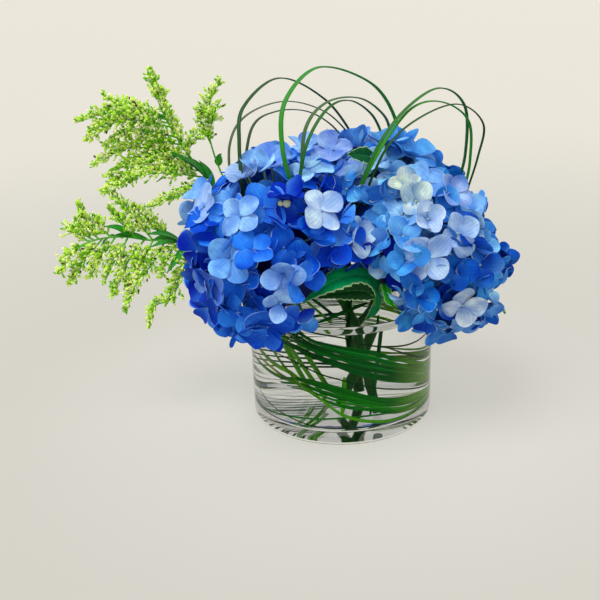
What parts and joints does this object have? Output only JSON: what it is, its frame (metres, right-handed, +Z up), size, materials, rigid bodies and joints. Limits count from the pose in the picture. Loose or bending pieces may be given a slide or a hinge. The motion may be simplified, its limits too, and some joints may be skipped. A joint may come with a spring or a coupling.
{
  "type": "hydrangea bouquet in a glass cylinder vase",
  "caption": "Blue hydrangea heads with goldenrod sprays and looped lily grass, standing in water in a low clear glass cylinder vase.",
  "frame": {"origin": "middle of the vase's underside, on the surface it stands on", "axes": "+Z up, -Y towards the front of the bouquet, -X towards the goldenrod"},
  "size_m": [0.3724, 0.2448, 0.2884],
  "materials": {
    "glass": "clear polished glass, faintly green at its edges",
    "water": "clear still water",
    "petals_blue": "soft matte sepals, deep royal blue, paler at some edges",
    "petals_sky": "soft matte sepals, sky blue to pale blue",
    "petals_periwinkle": "soft matte sepals, periwinkle blue",
    "stem_green": "smooth fresh stem and veined leaf, mid to dark green",
    "goldenrod": "matte yellow-green buds on green twigs",
    "grass": "satin strap blade, dark green with a paler midline",
    "grass_coil": "wet strap blades, deep green"
  },
  "bodies": {
    "root": {"goldenrod_lower": "goldenrod", "goldenrod_small": "goldenrod", "goldenrod_upper": "goldenrod", "grass_coil": "grass_coil", "grass_left_1": "grass", "grass_left_2": "grass", "grass_left_3": "grass", "grass_middle_1": "grass", "grass_middle_2": "grass", "grass_middle_3": "grass", "grass_right_1": "grass", "grass_right_2": "grass", "grass_right_3": "grass", "hydrangea_head_back": "petals_periwinkle", "hydrangea_head_left": "petals_blue", "hydrangea_head_right": "petals_sky", "hydrangea_stem_back": "stem_green", "hydrangea_stem_left": "stem_green", "hydrangea_stem_right": "stem_green", "vase": "glass", "water": "water"}
  },
  "joints": []
}
